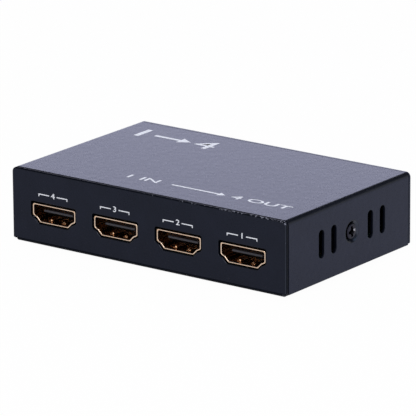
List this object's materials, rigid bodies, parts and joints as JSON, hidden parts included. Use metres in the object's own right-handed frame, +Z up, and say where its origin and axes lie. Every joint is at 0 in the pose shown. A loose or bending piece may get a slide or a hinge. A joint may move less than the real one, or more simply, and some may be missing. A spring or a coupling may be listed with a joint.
{
  "type": "video splitter",
  "caption": "Flat folded-steel box that repeats one video input to a row of output sockets, with vented sides, a power jack and rubber feet.",
  "frame": {"origin": "on the table, under the middle of the case", "axes": "+X to the right along the front panel, +Y to the rear, +Z up"},
  "size_m": [0.092, 0.058, 0.0222],
  "materials": {
    "coated_steel": "black powder coat with a fine grain",
    "screw_steel": "black zinc plated",
    "gilt_shell": "gold flash",
    "black_resin": "moulded",
    "foot_rubber": "matt",
    "standoff_brass": "turned",
    "tinned_metal": "tin plated",
    "board_laminate": "green solder mask",
    "light_lens": "diffused",
    "pad_silicone": "soft",
    "sink_aluminium": "extruded",
    "chip_ceramic": "fired"
  },
  "bodies": {
    "casing": {"top_cover": "coated_steel", "base_tray": "coated_steel", "rubber_feet": "foot_rubber", "board_standoffs": "standoff_brass", "board_screws": "tinned_metal", "circuit_board": "board_laminate", "jack_housing": "black_resin", "jack_middle_pin": "tinned_metal", "jack_spring_contact": "tinned_metal", "power_light": "light_lens", "power_light_leads": "tinned_metal", "splitter_chip": "black_resin", "splitter_chip_leads": "tinned_metal", "thermal_pad": "pad_silicone", "heat_sink": "sink_aluminium", "control_chip": "black_resin", "control_chip_leads": "tinned_metal", "memory_chip": "black_resin", "memory_chip_leads": "tinned_metal", "voltage_regulators": "black_resin", "voltage_regulator_leads": "tinned_metal", "clock_crystal": "tinned_metal", "capacitor_cans": "sink_aluminium", "capacitor_bases": "black_resin", "power_inductor": "black_resin", "chip_resistors": "chip_ceramic", "chip_capacitors": "chip_ceramic", "output_1_shell": "gilt_shell", "output_1_insulator": "black_resin", "output_1_contacts": "gilt_shell", "output_2_shell": "gilt_shell", "output_2_insulator": "black_resin", "output_2_contacts": "gilt_shell", "output_3_shell": "gilt_shell", "output_3_insulator": "black_resin", "output_3_contacts": "gilt_shell", "output_4_shell": "gilt_shell", "output_4_insulator": "black_resin", "output_4_contacts": "gilt_shell", "input_shell": "gilt_shell", "input_insulator": "black_resin", "input_contacts": "gilt_shell"},
    "right_screw": {"case_screw_right": "screw_steel"},
    "left_screw": {"case_screw_left": "screw_steel"}
  },
  "joints": [
    {"name": "right_screw_out", "type": "slide", "parent": "casing", "child": "right_screw", "axis": [1, 0, 0], "range_m": [0, 0.004]},
    {"name": "left_screw_out", "type": "slide", "parent": "casing", "child": "left_screw", "axis": [-1, 0, 0], "range_m": [0, 0.004]}
  ]
}
